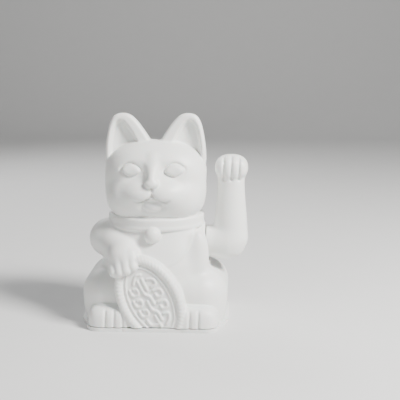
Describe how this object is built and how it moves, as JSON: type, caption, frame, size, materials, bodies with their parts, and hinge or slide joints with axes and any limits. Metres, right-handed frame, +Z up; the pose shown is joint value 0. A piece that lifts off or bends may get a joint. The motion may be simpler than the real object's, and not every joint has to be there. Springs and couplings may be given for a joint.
{
  "type": "beckoning cat figurine",
  "caption": "Seated white cat figurine with one raised arm that swings on an axle through its body, a resting arm that holds an oval coin, and a battery bay under its base.",
  "frame": {"origin": "middle of the body in the resting face of the base plate, straight below the arm's pivot axis", "axes": "+Z up, -Y the way the cat faces, +X towards its raised arm"},
  "size_m": [0.1204, 0.0845, 0.15],
  "materials": {
    "body_white": "satin",
    "arm_white": "satin",
    "base_white": "satin",
    "natural_nylon": "satin",
    "bush_brass": "turned",
    "axle_steel": "ground",
    "screw_steel": "zinc plated",
    "weight_steel": "zinc plated",
    "magnet_nickel": "nickel plated",
    "contact_nickel": "nickel plated",
    "coil_copper": "enamelled copper wire",
    "board_laminate": "bare phenolic laminate",
    "capacitor_sleeve": "shrunk sleeve",
    "transistor_black": "moulded",
    "resistor_beige": "dipped",
    "cell_steel": "drawn can",
    "cell_wrap": "plain film with no print",
    "lead_red": "satin",
    "lead_black": "satin"
  },
  "bodies": {
    "figure": {"front_shell": "body_white", "rear_shell": "body_white", "base_plate": "base_white", "pivot_frame": "natural_nylon", "coil_bobbin": "natural_nylon", "bearing_bush_left": "bush_brass", "bearing_bush_right": "bush_brass", "base_screws": "screw_steel", "frame_screws": "screw_steel", "board_screws": "screw_steel", "positive_contact": "contact_nickel", "negative_contact": "contact_nickel", "contact_spring": "contact_nickel", "drive_coil": "coil_copper", "circuit_board": "board_laminate", "capacitor": "capacitor_sleeve", "transistor": "transistor_black", "resistors": "resistor_beige", "battery_cell": "cell_steel", "battery_sleeve": "cell_wrap", "positive_lead": "lead_red", "negative_lead": "lead_black"},
    "waving_arm": {"arm_front_half": "arm_white", "arm_rear_half": "arm_white", "arm_hub": "natural_nylon", "axle": "axle_steel", "retaining_clips": "axle_steel", "pendulum_bar": "natural_nylon", "counterweights": "weight_steel", "weight_rivet": "axle_steel", "pendulum_magnet": "magnet_nickel"},
    "battery_door": {"battery_door": "base_white"}
  },
  "joints": [
    {"name": "arm_swing", "type": "hinge", "parent": "figure", "child": "waving_arm", "pos_m": [0.0366, 0, 0.0565], "axis": [1, 0, 0], "range_deg": [-25, 25]},
    {"name": "battery_door_hinge", "type": "hinge", "parent": "figure", "child": "battery_door", "pos_m": [-0.0307, 0.0191, 0.00105], "axis": [0, 1, 0], "range_deg": [0, 90]}
  ]
}
